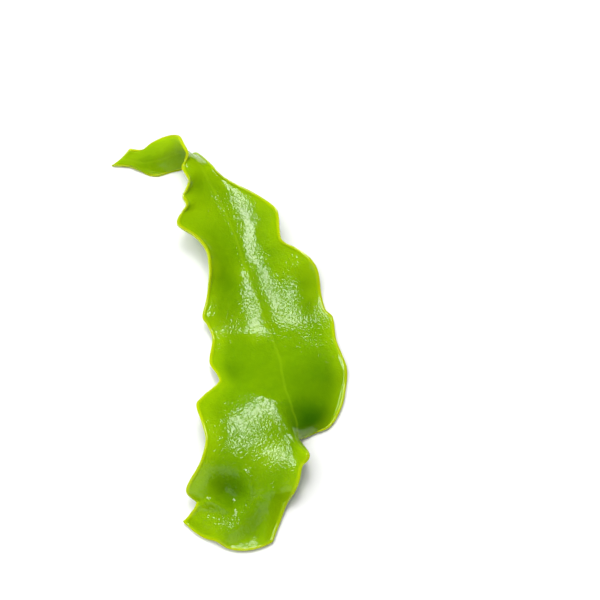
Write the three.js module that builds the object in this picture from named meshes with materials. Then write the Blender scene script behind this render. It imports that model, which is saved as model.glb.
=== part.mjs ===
// A frond of young kelp: one long ruffled blade, cut from its stalk and laid on a flat surface.
// At its narrow end the blade makes half a turn, so that the last flap shows its underside.
// Units are millimetres, +Z is up and the frond rests on z = 0. +Y runs along the blade, from
// the wide cut end to the flap. The origin is under the middle of the frond's box.
//
// The blade grew as one sheet, so it is one solid: a thin flat box, divided into small squares
// and bent onto the blade's surface. Three rails carry the surface: the two margins and the rib.
import * as THREE from "three";

// Driving dimensions
const LENGTH = 194.5;        // along the rib, from the cut end to the tip of the flap
const THICKNESS = 1.0;       // of the sheet
const RIB_RISE = 0.5;        // how far the rib stands up from the upper side
const RIB_REACH = 1.6;       // half width of the rib
const RUFFLE_FADE = 2.6;     // higher keeps the ruffles closer to the margins
const CALM_REACH = 10;       // length over which a margin is evened out to find the calm blade
const CALM_ENDS = 12;        // near its two ends the blade follows its margins exactly
const FLOOR_SOFTNESS = 1.0;  // how gently the sheet bends down onto the surface it lies on
const PRESSED = 0.25;        // the side that lies down is flat where it would be lower than this
const TEAR_ACROSS = -0.33;   // the cut edge is torn back here, between the margins at -1 and 1
const TEAR_WIDTH = 0.2;      // half width of the tear, on the same scale
const TEAR_DEPTH = 1.2;      // how far the cut edge is torn back
const TEAR_REACH = 8;        // how far from the cut end the sheet follows the tear
const ACROSS = 18;           // squares from margin to margin
const ALONG = 84;            // squares from end to end

// The rails: station along the rib, then x, y and height of the sheet's middle.
// The left margin, from the cut end's corner, up over the turn, to the flap's upper corner.
const LEFT = [
  [0, -10.5, -67.5, 0], [7, -8, -65.5, 3], [13.5, -6, -62, 4.2], [19, -9.5, -59, 7],
  [29, -5, -50.5, 10.3], [36, -3.5, -43.5, 11.2], [41, -5, -37.5, 11.2], [45.5, -7, -31, 10.4],
  [50, -6, -27.5, 9], [58, 0, -20, 6.8], [62, -0.5, -17, 6.2], [71, -3.5, -11.5, 4.6],
  [83, -3, -2, 3.8], [92, -5, 3.5, 3.9], [97, -6.5, 6, 4.8], [102, -5.5, 11.5, 5.8],
  [109, -5, 16, 7.5], [117, -4.5, 22.5, 10], [123, -5.5, 29, 11.5], [131, -10.5, 35.5, 12],
  [137, -16.5, 40, 12], [140, -15.5, 44.5, 12], [144.5, -13.5, 47.5, 13], [148.5, -15, 51.5, 13],
  [151, -14, 53.5, 13.5], [154, -13, 57, 14.5], [158, -15.5, 63, 14], [160.5, -14.5, 65.5, 15],
  [162.5, -13.5, 67, 17], [166.5, -15, 70.5, 17.5], [171.5, -17.5, 76.5, 15.5],
  [178, -22.5, 78.5, 12], [183, -27.5, 78, 9], [188, -31.5, 76.5, 6.5], [194.5, -36, 77, 6],
];
// The rib, along the middle of the blade.
const RIB = [
  [0, 5, -77, 0], [7, 6, -71, 2.2], [14, 6.5, -65.5, 4.2], [21, 7, -60.5, 6.2],
  [27.5, 8.5, -55, 8.1], [34, 11, -48.5, 9.4], [40.5, 14.5, -42.5, 9.9], [47, 17, -37.5, 10],
  [55, 20, -30.5, 10.1], [59.5, 20.8, -28.5, 10.1], [64.5, 21, -23.5, 8.4], [75, 20.5, -11.5, 4.2],
  [80, 19, -6, 2.8], [83, 18, -2.5, 2.2], [87, 16.5, 1.5, 1.7], [92, 15, 5.5, 1.7],
  [101, 12, 14, 2.7], [112, 8.5, 24, 4.3], [122, 5.5, 33.5, 5.6], [130.5, 3, 41, 6.8],
  [139, -1, 50, 7.9], [149, -5.5, 58.5, 9.4], [158, -10, 66, 12.3], [162.5, -12.5, 70.5, 11.8],
  [166.5, -14.5, 73, 10], [171.5, -18.5, 73.5, 8.5], [178, -24.5, 72.5, 6],
  [184.5, -30.5, 72.5, 4], [190.5, -36.5, 74.5, 3], [194.5, -39.5, 75.5, 2.5],
];
// The right margin, round the wide lobe, to the flap's lower corner.
const RIGHT = [
  [0, 18.5, -74, 0], [10, 20.5, -68, 0.8], [20, 23, -61.5, 3], [25, 25.5, -59, 6.2],
  [31, 27, -56, 7.8], [37, 28, -51.5, 8.8], [42, 30, -48.5, 8.2], [45.5, 28, -43.5, 5],
  [49, 26.5, -39, 2], [52, 31, -36.5, 0.3], [56.5, 37, -34, -0.3], [62.5, 41, -27, -0.8],
  [67.5, 42.5, -20.5, -0.3], [72.5, 43, -12.5, 2], [77, 41, -6, 2.2], [81, 39.5, -1, 1.6],
  [86, 38.5, 8, 0.5], [89, 36, 11, 0.7], [93, 34.5, 17, 1.6], [103, 33.5, 24.5, 5],
  [109.5, 31, 28.5, 7.2], [115.5, 26, 32.5, 8], [119.5, 21, 35.5, 8.5], [123, 20, 40, 9],
  [128, 19.5, 46.5, 8.7], [133.5, 17.5, 50, 9], [140.5, 10, 56, 9.1], [148, 1, 61, 9.5],
  [155, -4, 65, 10.5], [160, -8.5, 71.5, 8], [162.8, -11.5, 75.5, 5.5], [166, -14, 75, 3],
  [170, -15.5, 72, 1], [176, -20.5, 70.5, 0], [181, -25.5, 68.5, -0.5], [185, -29, 69, 0.5],
  [189.5, -35, 72, 1.5], [194.5, -43, 73, 0.8],
];

// Ridges and hollows between the rails: the reach to either side, then the places that the fold
// runs through, each with x, y and rise.
const FOLDS = [
  [2, [[19, -31, 0.2], [29.5, -48, 2.6]]],                       // pleat that ends in the right corner
  [6, [[-4.5, -46, 0.8], [-5.5, -37, 1]]],                       // rise along the left margin
  [4.2, [[3.5, -58.5, -3], [6, -60, -3]]],                       // round hollow near the cut end
  [1.6, [[10, -54.5, 0.5], [11, -59, 0.9], [8.5, -63.5, 0.4]]],  // its crescent lip
  [1.4, [[-7, -63.5, 0.9], [-1, -62.5, 0.8], [4, -64.5, 0.6]]],  // lip behind the notch
  [3.5, [[-5, -69.5, 1], [0, -71, 0.9]]],                        // swelling below the notch
  [3, [[14.5, -63, 0.8], [9, -69, 0.8], [2, -75, 0.9]]],         // ridge across the end
  [2, [[-2.5, -73, 0.2], [1.5, -74.5, 0.4]]],                    // curl of the cut end's margin
  [2.3, [[18.5, -60, 0.8], [16, -74, 1.3]]],                     // ridge along the end's right side
  [2.5, [[-4, 5, 0.45], [4, 4.5, 0.35], [10, 5.5, 0.15]]],       // ridge from the left corner
  [6.5, [[-3, 24, 0.9], [-2, 9, 1.2]]],                          // rise beside the left margin
  [5, [[25, 24, 0.5], [26, 11, 0.5]]],                           // rise in the right half
  [3.4, [[14.5, 4, 0.6], [9, 24, 0.4]]],                         // the rib, between two troughs
  [7, [[8.5, 58, -0.6], [13.5, 27, -0.6]]],                      // trough in the narrow part
  [4.5, [[-5.5, 62, 0.7], [-1, 50, 0.2]]],                       // and the rib's rise beside it
];

// The rail's point at a station, on a smooth curve through its knots.
function rail(knots, station) {
  const last = knots.length - 1;
  let i = 0;
  while (i < last - 1 && knots[i + 1][0] < station) i += 1;
  const [from, to] = [knots[i], knots[i + 1]];
  const before = knots[Math.max(i - 1, 0)];
  const after = knots[Math.min(i + 2, last)];
  const span = to[0] - from[0];
  const u = (station - from[0]) / span;
  const axis = (k) => {
    const leave = ((to[k] - before[k]) / (to[0] - before[0])) * span;
    const arrive = ((after[k] - from[k]) / (after[0] - from[0])) * span;
    return from[k] * (2 * u ** 3 - 3 * u ** 2 + 1) + leave * (u ** 3 - 2 * u ** 2 + u)
      + to[k] * (3 * u ** 2 - 2 * u ** 3) + arrive * (u ** 3 - u ** 2);
  };
  return new THREE.Vector3(axis(1), axis(2), axis(3));
}

// The same rail with its ruffles evened out, away from the blade's two ends.
function calmRail(knots, station) {
  const mean = new THREE.Vector3();
  let total = 0;
  for (let step = -6; step <= 6; step += 1) {
    const weight = Math.exp(-((step / 3) ** 2));
    const near = THREE.MathUtils.clamp(station + (step / 3) * CALM_REACH, 0, LENGTH);
    mean.addScaledVector(rail(knots, near), weight);
    total += weight;
  }
  const inside = THREE.MathUtils.smoothstep(Math.min(station, LENGTH - station), 0, CALM_ENDS);
  return rail(knots, station).lerp(mean.divideScalar(total), inside);
}

// What the ridges and hollows add to the height at a place. Each fold counts once, from the
// nearest place on its line, with the rise that it has there.
function foldHeight(x, y) {
  const place = new THREE.Vector3(x, y, 0);
  let height = 0;
  for (const [reach, line] of FOLDS) {
    const nearest = { away: Infinity, rise: 0 };
    for (let i = 1; i < line.length; i += 1) {
      const [[x1, y1, rise1], [x2, y2, rise2]] = [line[i - 1], line[i]];
      const piece = new THREE.Line3(new THREE.Vector3(x1, y1, 0), new THREE.Vector3(x2, y2, 0));
      const share = piece.closestPointToPointParameter(place, true);
      const away = piece.at(share, new THREE.Vector3()).distanceTo(place);
      if (away < nearest.away) {
        nearest.away = away;
        nearest.rise = THREE.MathUtils.lerp(rise1, rise2, share);
      }
    }
    height += nearest.rise * Math.exp(-((nearest.away / reach) ** 2));
  }
  return height;
}

// The sheet bends down to lie flat on the surface, and never goes through it.
function settle(height) {
  const clear = Math.max(height - THICKNESS / 2, 0);
  return THICKNESS / 2 + clear ** 2 / (clear + FLOOR_SOFTNESS);
}

// The middle of the sheet, at a share across (-1 left margin, 0 rib, 1 right margin).
function surface(across, along) {
  const tear = TEAR_DEPTH * Math.exp(-(((across - TEAR_ACROSS) / TEAR_WIDTH) ** 2));
  const station = along + tear * (1 - THREE.MathUtils.smoothstep(along, 0, TEAR_REACH));
  const rib = rail(RIB, station);
  const calmLeft = calmRail(LEFT, station);
  const calmRight = calmRail(RIGHT, station);
  const middle = calmLeft.clone().add(calmRight).divideScalar(2);
  const ruffle = across < 0
    ? rail(LEFT, station).sub(calmLeft)
    : rail(RIGHT, station).sub(calmRight);
  const point = rib.clone()
    .addScaledVector(calmRight.sub(calmLeft), across / 2)
    .addScaledVector(middle.sub(rib), across ** 2)
    .addScaledVector(ruffle, Math.abs(across) ** RUFFLE_FADE);
  point.z = settle(point.z + foldHeight(point.x, point.y));
  return point;
}

// The direction the upper side faces.
function upward(across, station) {
  const step = 0.02;
  const [left, right] = [Math.max(across - step, -1), Math.min(across + step, 1)];
  const [back, ahead] = [Math.max(station - 0.5, 0), Math.min(station + 0.5, LENGTH)];
  const sideways = surface(right, station).sub(surface(left, station));
  const onward = surface(across, ahead).sub(surface(across, back));
  return sideways.cross(onward).normalize();
}

// The sheet: the box's x is the share across, its y the station, its z the layer.
function frondGeometry() {
  const sheet = new THREE.BoxGeometry(2, LENGTH, 1, ACROSS, ALONG, 1);
  const points = sheet.attributes.position;
  for (let i = 0; i < points.count; i += 1) {
    const across = points.getX(i);
    const station = points.getY(i) + LENGTH / 2;
    const top = points.getZ(i) > 0;
    const point = surface(across, station);
    const fromRib = point.distanceTo(surface(0, station));
    const rib = RIB_RISE * Math.exp(-((fromRib / RIB_REACH) ** 2));
    point.addScaledVector(upward(across, station), top ? THICKNESS / 2 + rib : -THICKNESS / 2);
    points.setXYZ(i, point.x, point.y, Math.max(point.z, PRESSED));
  }
  sheet.computeVertexNormals();
  sheet.computeBoundingBox();
  const middle = sheet.boundingBox.getCenter(new THREE.Vector3());
  return sheet.translate(-middle.x, -middle.y, -sheet.boundingBox.min.z);
}

const kelp = new THREE.MeshStandardMaterial({ color: 0x6fa802, roughness: 0.25, metalness: 0 });

const frond = new THREE.Mesh(frondGeometry(), kelp);
frond.name = "frond";

const part = new THREE.Group();
part.name = "kelp_frond";
part.add(frond);

export default part;
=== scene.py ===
# %% [markdown]
# # A kelp frond, laid on a table
#
# A kelp blade grows as one long sheet, about a millimetre thick. Its middle grows slower than its
# margins, so the margins have more length than they need and stand in ruffles. A thicker line, the
# rib, runs down the middle. Blanched kelp is a clear yellow green. It is wet, so it shines, and light
# goes into the sheet and comes out again near by.
#
# The blade is one piece here, and this lesson spends its cells on the sheet's shape, then on its
# colour, its gloss and the light. The first cell loads the rigid model, which settles the size.

# %% Load the frame
import functools
import math

import bmesh
import bpy
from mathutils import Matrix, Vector, noise


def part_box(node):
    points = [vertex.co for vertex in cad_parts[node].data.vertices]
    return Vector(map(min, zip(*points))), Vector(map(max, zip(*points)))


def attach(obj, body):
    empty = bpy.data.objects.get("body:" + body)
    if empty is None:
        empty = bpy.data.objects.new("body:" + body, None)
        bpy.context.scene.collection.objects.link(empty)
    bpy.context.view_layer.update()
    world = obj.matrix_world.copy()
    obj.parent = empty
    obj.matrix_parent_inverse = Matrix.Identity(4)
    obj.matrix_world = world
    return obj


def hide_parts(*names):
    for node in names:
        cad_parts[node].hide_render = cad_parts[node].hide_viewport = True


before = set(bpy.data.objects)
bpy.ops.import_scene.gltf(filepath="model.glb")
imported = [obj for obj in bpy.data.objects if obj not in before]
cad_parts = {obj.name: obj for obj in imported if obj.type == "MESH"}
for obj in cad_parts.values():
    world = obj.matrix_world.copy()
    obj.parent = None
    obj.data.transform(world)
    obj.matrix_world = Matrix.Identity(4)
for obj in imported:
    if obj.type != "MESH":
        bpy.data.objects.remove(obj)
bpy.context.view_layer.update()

low, high = (Vector(corner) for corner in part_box("frond"))
MM = 0.001
print("The frond's box in mm:", [round(side / MM, 1) for side in high - low])

# %% [markdown]
# ## Three rails
#
# A ruffled sheet is hard to push into shape by hand. It could be a simulated cloth that grows at its
# margins, but then nothing says where each ruffle goes. So the sheet hangs on three rails: the left
# margin, the rib and the right margin. Each knot is a station along the rib, then x, y and height, in
# millimetres. A rail needs a knot only where the margin turns, at the crest or the foot of a ruffle.

# %% The rails
LENGTH = 194.5     # along the rib, from the wide cut end to the tip of the flap
THICKNESS = 1.0

LEFT = [
    (0, -10.5, -67.5, 0), (7, -8, -65.5, 3), (13.5, -6, -62, 4.2), (19, -9.5, -59, 7),
    (29, -5, -50.5, 10.3), (36, -3.5, -43.5, 11.2), (41, -5, -37.5, 11.2), (45.5, -7, -31, 10.4),
    (50, -6, -27.5, 9), (58, 0, -20, 6.8), (62, -0.5, -17, 6.2), (71, -3.5, -11.5, 4.6),
    (83, -3, -2, 3.8), (92, -5, 3.5, 3.9), (97, -6.5, 6, 4.8), (102, -5.5, 11.5, 5.8),
    (109, -5, 16, 7.5), (117, -4.5, 22.5, 10), (123, -5.5, 29, 11.5), (131, -10.5, 35.5, 12),
    (137, -16.5, 40, 12), (140, -15.5, 44.5, 12), (144.5, -13.5, 47.5, 13), (148.5, -15, 51.5, 13),
    (151, -14, 53.5, 13.5), (154, -13, 57, 14.5), (158, -15.5, 63, 14), (160.5, -14.5, 65.5, 15),
    (162.5, -13.5, 67, 17), (166.5, -15, 70.5, 17.5), (171.5, -17.5, 76.5, 15.5),
    (178, -22.5, 78.5, 12), (183, -27.5, 78, 9), (188, -31.5, 76.5, 6.5), (194.5, -36, 77, 6),
]
RIB = [
    (0, 5, -77, 0), (7, 6, -71, 2.2), (14, 6.5, -65.5, 4.2), (21, 7, -60.5, 6.2), (27.5, 8.5, -55, 8.1),
    (34, 11, -48.5, 9.4), (40.5, 14.5, -42.5, 9.9), (47, 17, -37.5, 10), (55, 20, -30.5, 10.1),
    (59.5, 20.8, -28.5, 10.1), (64.5, 21, -23.5, 8.4), (75, 20.5, -11.5, 4.2), (80, 19, -6, 2.8),
    (83, 18, -2.5, 2.2), (87, 16.5, 1.5, 1.7), (92, 15, 5.5, 1.7), (101, 12, 14, 2.7),
    (112, 8.5, 24, 4.3), (122, 5.5, 33.5, 5.6), (130.5, 3, 41, 6.8), (139, -1, 50, 7.9),
    (149, -5.5, 58.5, 9.4), (158, -10, 66, 12.3), (162.5, -12.5, 70.5, 11.8),
    (166.5, -14.5, 73, 10), (171.5, -18.5, 73.5, 8.5), (178, -24.5, 72.5, 6),
    (184.5, -30.5, 72.5, 4), (190.5, -36.5, 74.5, 3), (194.5, -39.5, 75.5, 2.5),
]
RIGHT = [
    (0, 18.5, -74, 0), (10, 20.5, -68, 0.8), (20, 23, -61.5, 3), (25, 25.5, -59, 6.2),
    (31, 27, -56, 7.8), (37, 28, -51.5, 8.8), (42, 30, -48.5, 8.2), (45.5, 28, -43.5, 5),
    (49, 26.5, -39, 2), (52, 31, -36.5, 0.3), (56.5, 37, -34, -0.3), (62.5, 41, -27, -0.8),
    (67.5, 42.5, -20.5, -0.3), (72.5, 43, -12.5, 2), (77, 41, -6, 2.2), (81, 39.5, -1, 1.6),
    (86, 38.5, 8, 0.5), (89, 36, 11, 0.7), (93, 34.5, 17, 1.6), (103, 33.5, 24.5, 5),
    (109.5, 31, 28.5, 7.2), (115.5, 26, 32.5, 8), (119.5, 21, 35.5, 8.5), (123, 20, 40, 9),
    (128, 19.5, 46.5, 8.7), (133.5, 17.5, 50, 9), (140.5, 10, 56, 9.1), (148, 1, 61, 9.5),
    (155, -4, 65, 10.5), (160, -8.5, 71.5, 8), (162.8, -11.5, 75.5, 5.5), (166, -14, 75, 3),
    (170, -15.5, 72, 1), (176, -20.5, 70.5, 0), (181, -25.5, 68.5, -0.5), (185, -29, 69, 0.5),
    (189.5, -35, 72, 1.5), (194.5, -43, 73, 0.8),
]
print("Knots on the left margin, the rib and the right margin:", len(LEFT), len(RIB), len(RIGHT))

# %% [markdown]
# A smooth curve goes through the knots of each rail. Its direction at a knot is that from the knot
# before to the knot after, so that a ruffle's crest is round and doesn't overshoot.

# %% A point on a rail
def rail(knots, station):
    last = len(knots) - 1
    i = next((n for n in range(last - 1) if knots[n + 1][0] >= station), last - 1)
    before, start, end, after = (Vector(knots[n]) for n in (max(i - 1, 0), i, i + 1, min(i + 2, last)))
    span = end[0] - start[0]
    u = (station - start[0]) / span
    leave = (end - before) * (span / (end[0] - before[0]))
    arrive = (after - start) * (span / (after[0] - start[0]))
    point = (
        start * (2 * u**3 - 3 * u**2 + 1)
        + leave * (u**3 - 2 * u**2 + u)
        + end * (3 * u**2 - 2 * u**3)
        + arrive * (u**3 - u**2)
    )
    return point.yzw


def smooth_step(value, edge):
    share = min(max(value / edge, 0), 1)
    return share * share * (3 - 2 * share)


print("The rib's middle is at", [round(n, 1) for n in rail(RIB, LENGTH / 2)], "mm")

# %% [markdown]
# ## From margin to margin
#
# Straight lines between the rails would carry each ruffle all the way to the rib, which makes a
# corrugated sheet. On real kelp a ruffle dies out within a centimetre. So each margin is also averaged
# over its neighbours, which gives the calm blade. The sheet follows the calm blade, and the ruffle,
# which is the margin minus its average, comes in only towards the margin.

# %% The calm blade
CALM_REACH = 10  # in millimetres: a neighbour this far off still counts for a third
CALM_STEPS = 3   # neighbours on that length; the average runs over twice as many to each side
CALM_ENDS = 12   # within this length of its ends the blade follows its margins more and more


def hump(distance, width):
    """A round ridge: 1 on its line, a third of that at its width, and nearly 0 at twice its width."""
    return math.exp(-((distance / width) ** 2))


def calm_rail(knots, station):
    steps = range(-2 * CALM_STEPS, 2 * CALM_STEPS + 1)
    weights = [hump(step, CALM_STEPS) for step in steps]
    mean = Vector((0, 0, 0))
    for step, weight in zip(steps, weights):
        near = min(max(station + step / CALM_STEPS * CALM_REACH, 0), LENGTH)
        mean += rail(knots, near) * (weight / sum(weights))
    inside = smooth_step(min(station, LENGTH - station), CALM_ENDS)
    return rail(knots, station).lerp(mean, inside)


@functools.lru_cache(maxsize=None)
def row(station):
    """The rib, the two calm margins and the two real margins at a station."""
    return (
        rail(RIB, station),
        calm_rail(LEFT, station),
        calm_rail(RIGHT, station),
        rail(LEFT, station),
        rail(RIGHT, station),
    )


print("Width half way along, in mm:", round((row(97)[4] - row(97)[3]).length, 1))

# %% [markdown]
# Between the rails the sheet has folds of its own: swellings, furrows and pleats, some running
# across and some along. They could be sculpted by hand, but a short list can be read and changed.
# Each fold is a soft ridge or hollow along a line, with its reach to either side, and with its rise
# at each place of the line.

# %% Folds between the rails
FOLDS = [
    (2.0, [(19, -31, 0.2), (29.5, -48, 2.6)]),                # pleat that ends in the right corner
    (6.0, [(-4.5, -46, 0.8), (-5.5, -37, 1.0)]),              # rise along the left margin
    (4.2, [(3.5, -58.5, -3.0), (6, -60, -3.0)]),              # round hollow near the cut end
    (1.6, [(10, -54.5, 0.5), (11, -59, 0.9), (8.5, -63.5, 0.4)]),           # its crescent lip
    (1.4, [(-7, -63.5, 0.9), (-1, -62.5, 0.8), (4, -64.5, 0.6)]),           # lip behind the notch
    (3.5, [(-5, -69.5, 1.0), (0, -71, 0.9)]),                 # swelling below the notch
    (3.0, [(14.5, -63, 0.8), (9, -69, 0.8), (2, -75, 0.9)]),                # ridge across the end
    (2.0, [(-2.5, -73, 0.2), (1.5, -74.5, 0.4)]),             # curl of the cut end's margin
    (2.3, [(18.5, -60, 0.8), (16, -74, 1.3)]),                # ridge along the end's right side
    (2.5, [(-4, 5, 0.45), (4, 4.5, 0.35), (10, 5.5, 0.15)]),  # ridge from the left corner
    (6.5, [(-3, 24, 0.9), (-2, 9, 1.2)]),                     # rise beside the left margin
    (5.0, [(25, 24, 0.5), (26, 11, 0.5)]),                    # rise in the right half
    (3.4, [(14.5, 4, 0.6), (9, 24, 0.4)]),                    # the rib, between two troughs
    (7.0, [(8.5, 58, -0.6), (13.5, 27, -0.6)]),               # trough in the narrow part
    (4.5, [(-5.5, 62, 0.7), (-1, 50, 0.2)]),                  # and the rib's rise beside it
]


def fold_height(x, y):
    """What the folds add to the height at a place in the plan."""
    place = Vector((x, y))
    height = 0
    for reach, line in FOLDS:
        nearest = None
        for (x1, y1, rise1), (x2, y2, rise2) in zip(line, line[1:]):
            start, along = Vector((x1, y1)), Vector((x2 - x1, y2 - y1))
            share = min(max((place - start).dot(along) / along.length_squared, 0), 1)
            away = (place - start - along * share).length
            if nearest is None or away < nearest[0]:
                nearest = (away, rise1 + (rise2 - rise1) * share)
        height += nearest[1] * hump(nearest[0], reach)
    return height


print("The folds lower the round hollow by", round(-fold_height(3.5, -58.5), 1), "mm")

# %% [markdown]
# Now the three ideas meet. A point of the sheet is on the calm blade, moved by its share of the
# ruffle and lifted by the folds. The knife pulled the cut edge back a little at one place. And where
# the sheet would sink into the table, its own weight lays it flat there instead, with a gentle bend.

# %% A point on the sheet
RUFFLE_FADE = 2.6     # higher keeps a ruffle closer to the margin
FLOOR_SOFTNESS = 1.0  # in millimetres: higher bends it more gently onto the table
TEAR_ACROSS, TEAR_WIDTH = -0.33, 0.2  # as shares of the way from the rib to a margin
TEAR_DEPTH, TEAR_REACH = 1.2, 8       # in millimetres, and how far the sheet follows it


def settle(height):
    """The height of the sheet's middle once the table holds it up."""
    clear = max(height - THICKNESS / 2, 0)
    return THICKNESS / 2 + clear**2 / (clear + FLOOR_SOFTNESS)


def sheet_point(across, station):
    """The middle of the sheet. Across is -1 at the left margin, 0 at the rib and 1 at the right."""
    tear = TEAR_DEPTH * hump(across - TEAR_ACROSS, TEAR_WIDTH)
    station += tear * (1 - smooth_step(station, TEAR_REACH))
    rib, calm_left, calm_right, left, right = row(station)
    middle = (calm_left + calm_right) / 2
    ruffle = left - calm_left if across < 0 else right - calm_right
    point = (
        rib
        + (calm_right - calm_left) * (across / 2)
        + (middle - rib) * across**2
        + ruffle * abs(across) ** RUFFLE_FADE
    )
    point.z = settle(point.z + fold_height(point.x, point.y))
    return point


tops = [sheet_point(-1, station).z for station in range(int(LENGTH))]
print("The left margin rises to", round(max(tops), 1), "mm")

# %% [markdown]
# ## The sheet as a mesh
#
# A flat grid has the right faces already, so the sheet starts as one and each vertex is moved to its
# place. On the way each vertex also learns how far it is from the nearest margin and from the rib.
# The shape and the colours use that later: a margin has a bead and a yellow line, partly painted
# light, and the rib has a small ridge and a paler line. The vertices stand closer together near the
# margins, where the ruffles are.

# %% Bend the grid
ALONG, ACROSS = 330, 58  # faces each way
CROWDING = 1.6           # higher crowds the vertices more
END_ZONE = 3             # in millimetres: how much of each end has crowded vertices

sheet = bmesh.new()
bmesh.ops.create_grid(sheet, x_segments=ACROSS, y_segments=ALONG, size=1)
edge_layer = sheet.verts.layers.float.new("from_edge")
rib_layer = sheet.verts.layers.float.new("from_rib")

# The rib leaves the middle near the pleat: (station, share across)
RIB_DRIFT = [(0, 1), (44, 1), (47, 0.8), (50, 0.55), (55, 0.25), (64.5, 0.05), (72, 0), (LENGTH, 0)]


def rib_share(station):
    """Where the rib's line runs, as a share of the way from the middle to the right margin."""
    for (s1, a1), (s2, a2) in zip(RIB_DRIFT, RIB_DRIFT[1:]):
        if station <= s2:
            return a1 + (a2 - a1) * (station - s1) / (s2 - s1)
    return 0


def denser(inset, zone):
    """Pulls vertices towards a border: an inset inside the zone gets smaller."""
    return zone * (inset / zone) ** CROWDING if inset < zone else inset


for vert in sheet.verts:
    across = math.copysign(1 - denser(1 - abs(vert.co.x), 1), vert.co.x)
    station = denser((vert.co.y + 1) / 2 * LENGTH, END_ZONE)
    station = LENGTH - denser(LENGTH - station, END_ZONE)
    rib, _, _, left, right = row(station)
    half = ((left if across < 0 else right) - rib).length
    vert[edge_layer] = min((1 - abs(across)) * half, station, LENGTH - station)
    vert[rib_layer] = (across - rib_share(station)) * half
    vert.co = sheet_point(across, station)
print("Vertices in the sheet:", len(sheet.verts))

# %% [markdown]
# Real kelp is never smooth between its folds. It puckers in soft quilting, and in wrinkles a few
# millimetres apart, which break up the light that it reflects. A Displace modifier could do it, but
# worked out here the rise can depend on what each vertex knows. Noise moves each vertex along its
# normal, except where the table presses the sheet flat. The rib stands up a little as a line, and
# the rim has a small bead all round.

# %% Puckers and wrinkles
# Waves per millimetre, height in millimetres, and a place in the noise
PUCKERS = [(0.11, 0.2, Vector((0, 3.1, 5.7))), (0.34, 0.07, Vector((7.3, 3.1, 5.7)))]
FREE_HEIGHT = 0.6       # the sheet puckers fully where it is this far above the table
RIB_WIDTH, RIB_HEIGHT = 0.6, 0.05
RIB_FADE = 4            # within this much of a margin the rib's line sinks in
RIM_INSET, RIM_WIDTH, RIM_HEIGHT = 0.55, 0.4, 0.22


def pucker(place):
    return sum(height * noise.noise(place * waves + start) for waves, height, start in PUCKERS)


sheet.normal_update()
rises = []
for vert in sheet.verts:
    inset = vert[edge_layer]
    rise = pucker(vert.co) * smooth_step(vert.co.z - THICKNESS / 2, FREE_HEIGHT)
    rise += RIB_HEIGHT * hump(vert[rib_layer], RIB_WIDTH) * smooth_step(inset, RIB_FADE)
    rise += RIM_HEIGHT * hump(inset - RIM_INSET, RIM_WIDTH)
    rises.append(rise)
for vert, rise in zip(sheet.verts, rises):
    vert.co += vert.normal * rise
print("Puckers from", round(min(rises), 2), "to", round(max(rises), 2), "mm")

# %% [markdown]
# The mesh now goes from millimetres to metres, and under it the frame's box says where it stands.
# Thickness is left to a Solidify modifier, because it keeps the sheet even round every fold, and a
# Bevel modifier then rounds the rim.

# %% The frond as an object
ROUNDING = 0.42  # the rim's rounding, as a share of the thickness

bmesh.ops.scale(sheet, vec=(MM, MM, MM), verts=sheet.verts)
bmesh.ops.recalc_face_normals(sheet, faces=sheet.faces)
for face in sheet.faces:
    face.smooth = True
mesh = bpy.data.meshes.new("kelp_blade")
sheet.to_mesh(mesh)
sheet.free()

blade = bpy.data.objects.new("kelp_blade", mesh)
bpy.context.scene.collection.objects.link(blade)

solidify = blade.modifiers.new("thickness", "SOLIDIFY")
solidify.thickness = THICKNESS * MM
solidify.offset = 0

bevel = blade.modifiers.new("round_rim", "BEVEL")
bevel.limit_method = "ANGLE"
bevel.angle_limit = math.radians(60)  # only the rim's two edges are as sharp as that
bevel.width = ROUNDING * THICKNESS * MM
bevel.segments = 2
print("Faces before the modifiers:", len(mesh.polygons))

# %% [markdown]
# The object has to stay at the origin, so the mesh itself is moved until the thick sheet's box stands
# on the middle of the frame's box. Then the piece is tied to the frame: it rides on the root body
# and stands in for the plain frond, which is hidden.

# %% Stand it in the frame
def thick_box(piece):
    bpy.context.view_layer.update()
    evaluated = piece.evaluated_get(bpy.context.evaluated_depsgraph_get())
    points = [v.co for v in evaluated.data.vertices]
    return (
        Vector(min(p[k] for p in points) for k in range(3)),
        Vector(max(p[k] for p in points) for k in range(3)),
    )


thick_low, thick_high = thick_box(blade)
shift = (low + high) / 2 - (thick_low + thick_high) / 2
shift.z = low.z - thick_low.z
for vert in mesh.vertices:
    vert.co += shift
mesh.update()
print("Moved by mm:", [round(n / MM, 2) for n in shift])

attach(blade, "root")
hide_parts("frond")

# %% [markdown]
# ## A small language for materials
#
# A material is a sum of masks and colours, and reads best as one. The class below wraps a socket, so
# that an expression such as 0.06 + patches * 0.02 adds the Math nodes it needs. Every other node
# comes from one method, which sets a node's own settings first and then its sockets.

# %% Sockets as numbers
class Wire:
    """A socket that can be reckoned with. Adding, multiplying and so on adds Math nodes."""

    def __init__(self, tree, socket):
        self.tree, self.socket = tree, socket

    def reckon(self, operation, *numbers):
        sockets = dict(enumerate((self, *numbers)))
        return node(self.tree, "ShaderNodeMath", {"operation": operation}, sockets)

    def __add__(self, other):
        return self.reckon("ADD", other)

    def __mul__(self, other):
        return self.reckon("MULTIPLY", other)

    def __abs__(self):
        return self.reckon("ABSOLUTE")

    __radd__, __rmul__ = __add__, __mul__


def node(tree, kind, settings=None, sockets=None, output=0):
    """Adds a node, sets it, joins or fills its sockets, and gives back one of its outputs."""
    made = tree.nodes.new(kind)
    for name, value in (settings or {}).items():
        setattr(made, name, value)
    for name, value in (sockets or {}).items():
        if isinstance(value, Wire):
            tree.links.new(value.socket, made.inputs[name])
        else:
            made.inputs[name].default_value = value
    return Wire(tree, made.outputs[output])


def new_material(name):
    material = bpy.data.materials.new(name)
    material.use_nodes = True
    material.node_tree.nodes.clear()
    return material, material.node_tree


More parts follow.
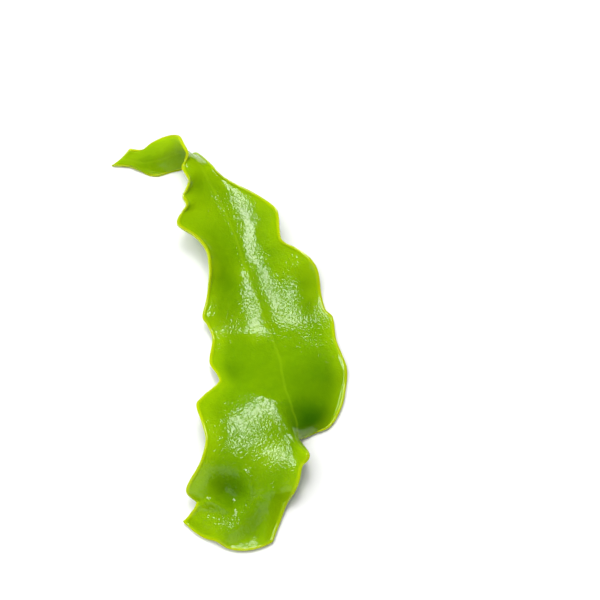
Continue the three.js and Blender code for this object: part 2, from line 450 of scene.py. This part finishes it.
def finish_material(shader):
    surface = shader.tree.nodes.new("ShaderNodeOutputMaterial").inputs["Surface"]
    shader.tree.links.new(shader.socket, surface)


kelp, kelp_tree = new_material("kelp")
print("Nodes in the empty material:", len(kelp_tree.nodes))

# %% [markdown]
# Three small helpers do most of the painting. One lays a colour over another by a mask, one turns a
# value into a mask with soft limits, and one reads a colour as a screen shows it. Light adds up in
# other amounts than a screen's numbers do, so a screen's middle grey is only a fifth of white.

# %% Colours and masks
def blend(mask, under, over):
    """The colour under it where the mask is 0, and the one over it where it is 1."""
    colours = {0: mask, 6: under, 7: over}
    return node(mask.tree, "ShaderNodeMix", {"data_type": "RGBA"}, colours, output=2)


def between(value, start, end):
    """0 up to start, 1 from end on, and smooth in between. Start may be above end."""
    limits = {"Value": value, "From Min": start, "From Max": end}
    return node(value.tree, "ShaderNodeMapRange", {"interpolation_type": "SMOOTHSTEP"}, limits)


def colour(red, green, blue):
    """A colour as a screen shows it, from 0 to 255, turned into amounts of light."""
    def light(part):
        part /= 255
        return part / 12.92 if part <= 0.04045 else ((part + 0.055) / 1.055) ** 2.4
    return (light(red), light(green), light(blue), 1)


print("A screen's middle grey is this much of white:", round(colour(128, 128, 128)[0], 2))

# %% [markdown]
# ## Colour
#
# A pattern needs something to follow. The object's own coordinates keep it in place on the sheet,
# and the two distances that the vertices know follow the margins and the rib. Noise alone could give
# the rest, but then the painted shade in a hollow or the painted light on a crest would come in the
# wrong place. So there are soft spots as well, each with a place and a reach.

# %% Patterns on the sheet
place = node(kelp_tree, "ShaderNodeTexCoord", output="Object")


def grain(scale, detail, roughness=0.5, distortion=0.0):
    """Noise from 0 to 1, with about this many waves in a metre."""
    sockets = {"Vector": place, "Scale": scale, "Detail": detail, "Roughness": roughness,
               "Distortion": distortion}
    return node(kelp_tree, "ShaderNodeTexNoise", None, sockets)


def attribute(name):
    """What each vertex has learnt, such as its distance from the margin in millimetres."""
    return node(kelp_tree, "ShaderNodeAttribute", {"attribute_name": name}, output="Fac")


def spot(x, y, reach):
    """1 at a place on the frond, down to 0 at its reach. Height doesn't count."""
    flatten, centre = (1, 1, 0), (x * MM, y * MM, 0)
    flat = node(kelp_tree, "ShaderNodeVectorMath", {"operation": "MULTIPLY"}, {0: place, 1: flatten})
    away = node(
        kelp_tree, "ShaderNodeVectorMath", {"operation": "DISTANCE"}, {0: flat, 1: centre}, "Value"
    )
    return between(away, reach * MM, 0)


def paint_light_and_shade(under, spots, over):
    """Lays a colour over another in spots, here as painted shade and painted light: x, y and reach in
    millimetres, then how strong.
    """
    for x, y, reach, strength in spots:
        under = blend(spot(x, y, reach) * strength, under, over)
    return under


broad = between(grain(45, 3), 0.35, 0.68)
fine = between(grain(420, 4, 0.6), 0.35, 0.7)
from_edge = attribute("from_edge")
from_rib = attribute("from_rib")
print("Nodes for the patterns:", len(kelp_tree.nodes))

# %% [markdown]
# Blanching turns kelp from brown to green. Where the sheet is thin, at its margins, it is nearly
# yellow, and the rib is paler too. The margin's yellow is also painted light: the glow through the
# thin rim and the bright line of its bead. Broad and fine noise wander between greens. Then spots
# paint shade into the hollows, onto the wide lobe and onto a few other slopes, and paint light,
# warmer, onto the crests and the flap. Each layer is laid over those before it, so the margin and the
# rib come last.

# %% The kelp's colour
# The darkest green is painted shade; the warm green and the margin yellow also stand in for painted
# light
GREEN = colour(122, 164, 1)
DEEP_GREEN = colour(96, 146, 1)
SHADE_GREEN = colour(52, 104, 1)
WARM_AND_LIT_GREEN = colour(151, 190, 2)
MARGIN_YELLOW_AND_GLOW = colour(188, 202, 6)
RIB_GREEN = colour(160, 198, 24)

# Painted shade: spots where the sheet lies in shade, such as the round hollow and the wide lobe's foot
PAINTED_SHADE_SPOTS = [
    (31, -35, 15, 1.0), (36, -16, 14, 0.45), (5, -58.5, 9, 0.65), (3, -17, 9, 0.35),
    (25, -20, 10, 0.2), (14, -68, 10, 0.3), (34, 8, 8, 0.25), (7, 47, 5, 0.2), (1, 20, 6, 0.2),
    (31, 20, 6, 0.35), (31, 12, 5, 0.25),
]
# Painted light: spots where the sheet is lit or lets light through, such as crests and the flap
PAINTED_LIGHT_SPOTS = [
    (-10, 46, 12, 0.6), (-4, -42, 9, 0.6), (-3, 0, 8, 0.7), (17, -48, 9, 0.5), (28, -48, 5, 0.5),
    (-10, 64, 8, 0.6), (-22, 77, 12, 0.8), (-36, 76, 8, 0.8), (24, 26, 9, 0.4), (7, 24, 7, 0.35),
    (-4, 23, 5, 0.5), (-2, -71, 7, 0.6), (12, 0, 6, 0.4),
]

colour_and_painted_light = blend(broad * 0.5, GREEN, DEEP_GREEN)
colour_and_painted_light = blend(fine * 0.12, colour_and_painted_light, WARM_AND_LIT_GREEN)
# Painted shade in spots
colour_and_painted_light = paint_light_and_shade(colour_and_painted_light, PAINTED_SHADE_SPOTS, SHADE_GREEN)
# Painted light in spots
colour_and_painted_light = paint_light_and_shade(colour_and_painted_light, PAINTED_LIGHT_SPOTS, WARM_AND_LIT_GREEN)
# The last 7 mm towards a margin turn warm, and its last millimetre yellow
# Both bands are partly thin tissue and partly painted light: the glow through the rim and its bright
# line
colour_and_painted_light = blend(between(from_edge, 7.0, 0.5) * 0.6, colour_and_painted_light, WARM_AND_LIT_GREEN)
colour_and_painted_light = blend(between(from_edge, 1.2, 0.1) * 0.75, colour_and_painted_light, MARGIN_YELLOW_AND_GLOW)
colour_and_painted_light = blend(between(abs(from_rib), 0.8, 0.1) * 0.22, colour_and_painted_light, RIB_GREEN)
print("Nodes with the colour:", len(kelp_tree.nodes))

# %% [markdown]
# ## Gloss
#
# The finest wrinkles are a millimetre apart or less, too fine for the mesh, so a Bump node makes
# them. They break a reflection into bright little worms, but not everywhere: the sheet is crinkled
# in spots, on its crests and at its cut end, and smoother between. In other spots a film of water
# lies over the wrinkles, and a clear coat gives its calmer shine.

# %% The wrinkles and the water
CRINKLED_SPOTS = [
    (20, 20, 9, 0.9), (22, 9, 8, 1.0), (30, 3, 8, 0.6), (13, 32, 6, 0.7), (9, 12, 8, 0.8),
    (3, 4, 7, 0.6), (15, -27, 8, 0.7), (18, -34, 9, 0.5), (16, -40, 10, 0.8), (23, -47, 7, 0.8),
    (8, -44, 8, 0.6), (4, -69, 8, 0.7), (-3, -65, 6, 0.6), (10, -77, 5, 0.9), (11, -62, 5, 0.8),
]
FILM_SPOTS = [
    (7, 54, 6, 0.6), (9, 47, 7, 0.8), (11, 40, 7, 0.8), (13, 33, 6, 0.5), (18, -33, 7, 0.5),
    (8, -44, 6, 0.5),
]
DRY_SPOTS = [(-19, 74, 8, 1.3), (-25, 76, 9, 0.8), (-34, 75, 9, 0.6)]
WRINKLE_DEPTH = 0.22 * MM


def total(spots):
    """How strong the spots are at a place, added up."""
    return sum(spot(x, y, reach) * strength for x, y, reach, strength in spots)


crinkled, film, dryness = total(CRINKLED_SPOTS), total(FILM_SPOTS), total(DRY_SPOTS)
worms = grain(1000, 0, distortion=1.0)
ripples = grain(260, 2, distortion=0.3)
patches = between(grain(95, 2), 0.35, 0.65)
relief = worms * (0.25 + patches * 0.2 + crinkled * 0.6) + ripples * 0.5
wrinkles = node(
    kelp_tree, "ShaderNodeBump", None, {"Height": relief, "Strength": 1.0, "Distance": WRINKLE_DEPTH}
)
print("Spots of crinkles, water and dryness:", len(CRINKLED_SPOTS), len(FILM_SPOTS), len(DRY_SPOTS))

# %% [markdown]
# Light also spreads inside the sheet and comes out again near by, which softens the shading: that is
# the subsurface part of the shader. The flap has dried, and mirrors less. A specular level that
# changes over the surface is lost when a piece is exported, so a wet shader and a dry one are mixed
# instead, by spots again.

# %% The kelp's surface
tissue = {
    "Base Color": colour_and_painted_light,
    "Normal": wrinkles,
    "IOR": 1.46,
    "Subsurface Weight": 0.35,
    "Subsurface Radius": (0.9, 1.0, 0.12),  # yellow light goes far into the sheet, blue doesn't
    "Subsurface Scale": 1.6 * MM,
}
water = {
    "Roughness": 0.06 + patches * 0.02,
    "Coat Weight": 0.06 + film * 0.5,
    "Coat Roughness": 0.12,
    "Coat IOR": 1.36,
}
dried = {"Roughness": 0.45, "Specular IOR Level": 0.12}
wet_sheet = node(kelp_tree, "ShaderNodeBsdfPrincipled", None, {**tissue, **water})
dry_sheet = node(kelp_tree, "ShaderNodeBsdfPrincipled", None, {**tissue, **dried})
shader = node(kelp_tree, "ShaderNodeMixShader", None, {0: dryness, 1: wet_sheet, 2: dry_sheet})
finish_material(shader)
mesh.materials.append(kelp)
print("Nodes in the kelp's material:", len(kelp_tree.nodes))

# %% [markdown]
# ## The table
#
# It reaches far past the frond, so that a low view still has a pale table behind it.

# %% The table
TABLE_REACH = 30  # in metres, from the middle to each side

table_mesh = bpy.data.meshes.new("table_top")
top = bmesh.new()
bmesh.ops.create_grid(top, x_segments=1, y_segments=1, size=TABLE_REACH)
top.to_mesh(table_mesh)
top.free()
table = bpy.data.objects.new("table_top", table_mesh)
bpy.context.scene.collection.objects.link(table)

paper, paper_tree = new_material("pale_table")
matt_white = {"Base Color": (0.9, 0.9, 0.9, 1), "Roughness": 0.9}
finish_material(node(paper_tree, "ShaderNodeBsdfPrincipled", None, matt_white))
table_mesh.materials.append(paper)
print("The table's side in metres:", 2 * TABLE_REACH)

# %% [markdown]
# ## The light
#
# A wet sheet shows its shape by what it reflects. Under one big soft lamp it would shine all over,
# so a single small panel high behind it draws the bright patches, on the slopes that lean back
# towards it, and a weak one in front fills the rest. Most of the light comes from a wide window and
# an even sky instead. Both light the sheet and soften its shadow, but are hidden from its mirror.

# %% The lamps
scene = bpy.context.scene


def lamp(name, kind, energy, mirrored=True):
    data = bpy.data.lights.new(name, kind)
    data.energy = energy
    made = bpy.data.objects.new(name, data)
    scene.collection.objects.link(made)
    made.visible_glossy = mirrored
    return made


def panel(name, location, width, depth, power, mirrored=True):
    """A flat lamp that faces the frond. Sizes are in metres, and the power is in watts."""
    made = lamp(name, "AREA", power, mirrored)
    made.data.shape = "RECTANGLE"
    made.data.size, made.data.size_y = width, depth
    made.location = location
    made.rotation_euler = (-made.location).to_track_quat("-Z", "Y").to_euler()


panel("back_panel", (0.0, 0.24, 0.76), width=0.2, depth=0.3, power=1.85)
panel("front_panel", (0.0, -0.5, 0.65), width=0.6, depth=0.4, power=0.5)
panel("window", (-0.3, 0.2, 1.1), width=1.2, depth=1.2, power=8.6, mirrored=False)

sky = lamp("sky", "SUN", energy=1.95, mirrored=False)
sky.data.angle = math.radians(120)  # as wide as that, it has no shadow edge
sky.rotation_euler = (math.radians(-10), math.radians(-25), 0)

world = bpy.data.worlds.new("pale_room")
world.use_nodes = True
room = world.node_tree.nodes["Background"].inputs
room["Color"].default_value = (1, 1, 1, 1)
room["Strength"].default_value = 0.015
scene.world = world
scene.view_settings.view_transform = "Standard"

# %% [markdown]
# ## The camera
#
# The camera looks down on the frond from its cut end, through a long lens from half a metre away.

# %% The camera
AIM = Vector((0.027, 0.015, 0))  # the place on the table that it looks at
ELEVATION = math.radians(60)
DISTANCE = 0.5  # in metres
LENS = 85       # in millimetres

lens = bpy.data.cameras.new("camera")
lens.lens = LENS
lens.clip_start = 0.01
camera = bpy.data.objects.new("camera", lens)
scene.collection.objects.link(camera)
camera.location = AIM + Vector((0, -math.cos(ELEVATION), math.sin(ELEVATION))) * DISTANCE
camera.rotation_euler = (math.pi / 2 - ELEVATION, 0, 0)
scene.camera = camera
print("The camera is", round(camera.location.z, 2), "m above the table")
